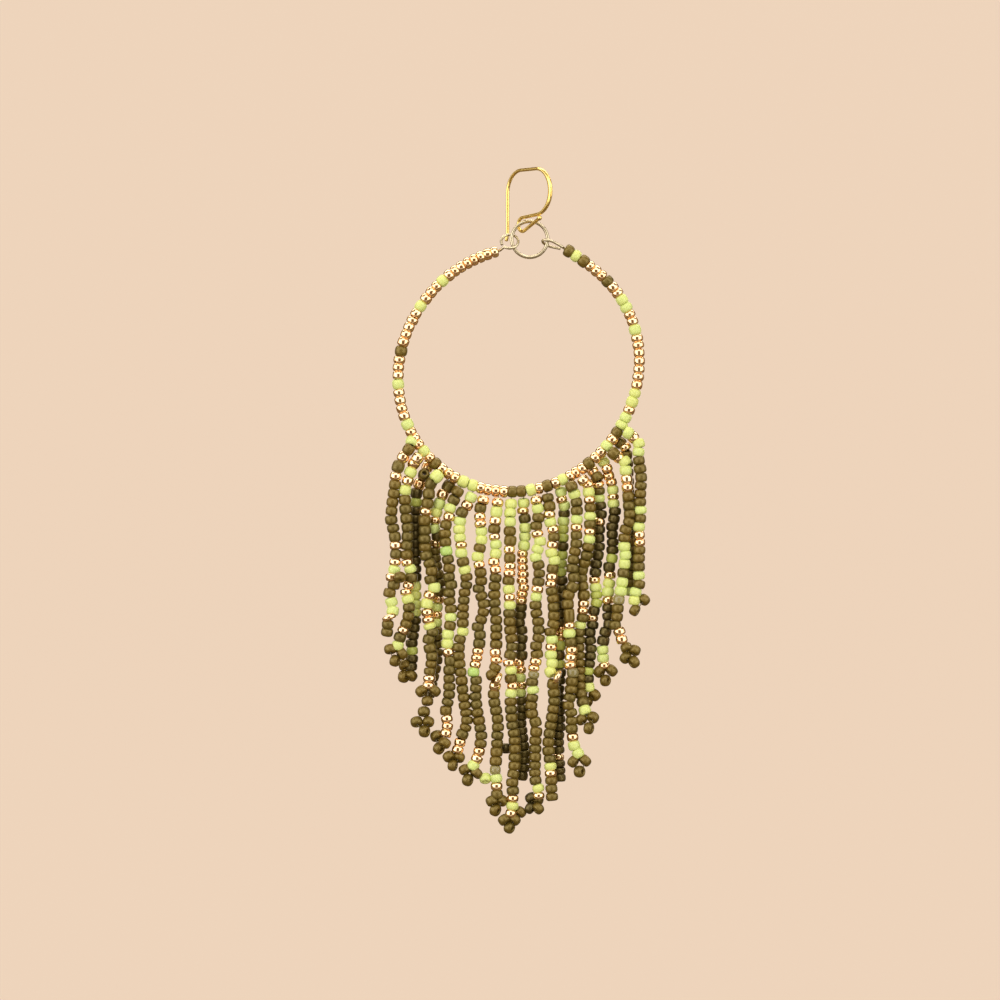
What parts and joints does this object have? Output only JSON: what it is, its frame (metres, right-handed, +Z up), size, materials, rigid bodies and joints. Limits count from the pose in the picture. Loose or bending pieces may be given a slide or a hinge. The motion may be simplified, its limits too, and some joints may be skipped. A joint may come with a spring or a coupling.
{
  "type": "beaded fringe earring",
  "caption": "Drop earring on an ear wire: a seed-beaded hoop linked by a jump ring, with a tapering fringe of olive, lime and gold bead strings.",
  "frame": {"origin": "centre of the ear wire where it passes through the ear", "axes": "+Z up, the hoop and its fringe hang parallel to the XZ plane, and -Y is the front as worn facing the viewer"},
  "size_m": [0.0482, 0.0107, 0.1205],
  "materials": {
    "hook_gold": "bright yellow gold plate",
    "pale_gold": "pale champagne gold plate",
    "hoop_beads": "opaque glass seed beads, mostly metallic rose gold with lime green and olive ones",
    "fringe_beads": "opaque frosted glass seed beads, mostly olive with lime green and metallic rose gold ones"
  },
  "bodies": {
    "hook": {"ear_hook": "hook_gold"},
    "drop": {"jump_ring": "pale_gold", "hoop_wire": "pale_gold", "hoop_beads": "hoop_beads", "strand_01": "fringe_beads", "strand_02": "fringe_beads", "strand_03": "fringe_beads", "strand_04": "fringe_beads", "strand_05": "fringe_beads", "strand_06": "fringe_beads", "strand_07": "fringe_beads", "strand_08": "fringe_beads", "strand_09": "fringe_beads", "strand_10": "fringe_beads", "strand_11": "fringe_beads", "strand_12": "fringe_beads", "strand_13": "fringe_beads", "strand_14": "fringe_beads", "strand_15": "fringe_beads", "strand_16": "fringe_beads", "strand_17": "fringe_beads", "strand_18": "fringe_beads", "strand_19": "fringe_beads", "strand_20": "fringe_beads", "strand_21": "fringe_beads"}
  },
  "joints": [
    {"name": "drop_swing", "type": "hinge", "parent": "hook", "child": "drop", "pos_m": [-0.00098, 0.00125, -0.00959], "axis": [1, 0, 0], "range_deg": [-35, 20]}
  ]
}
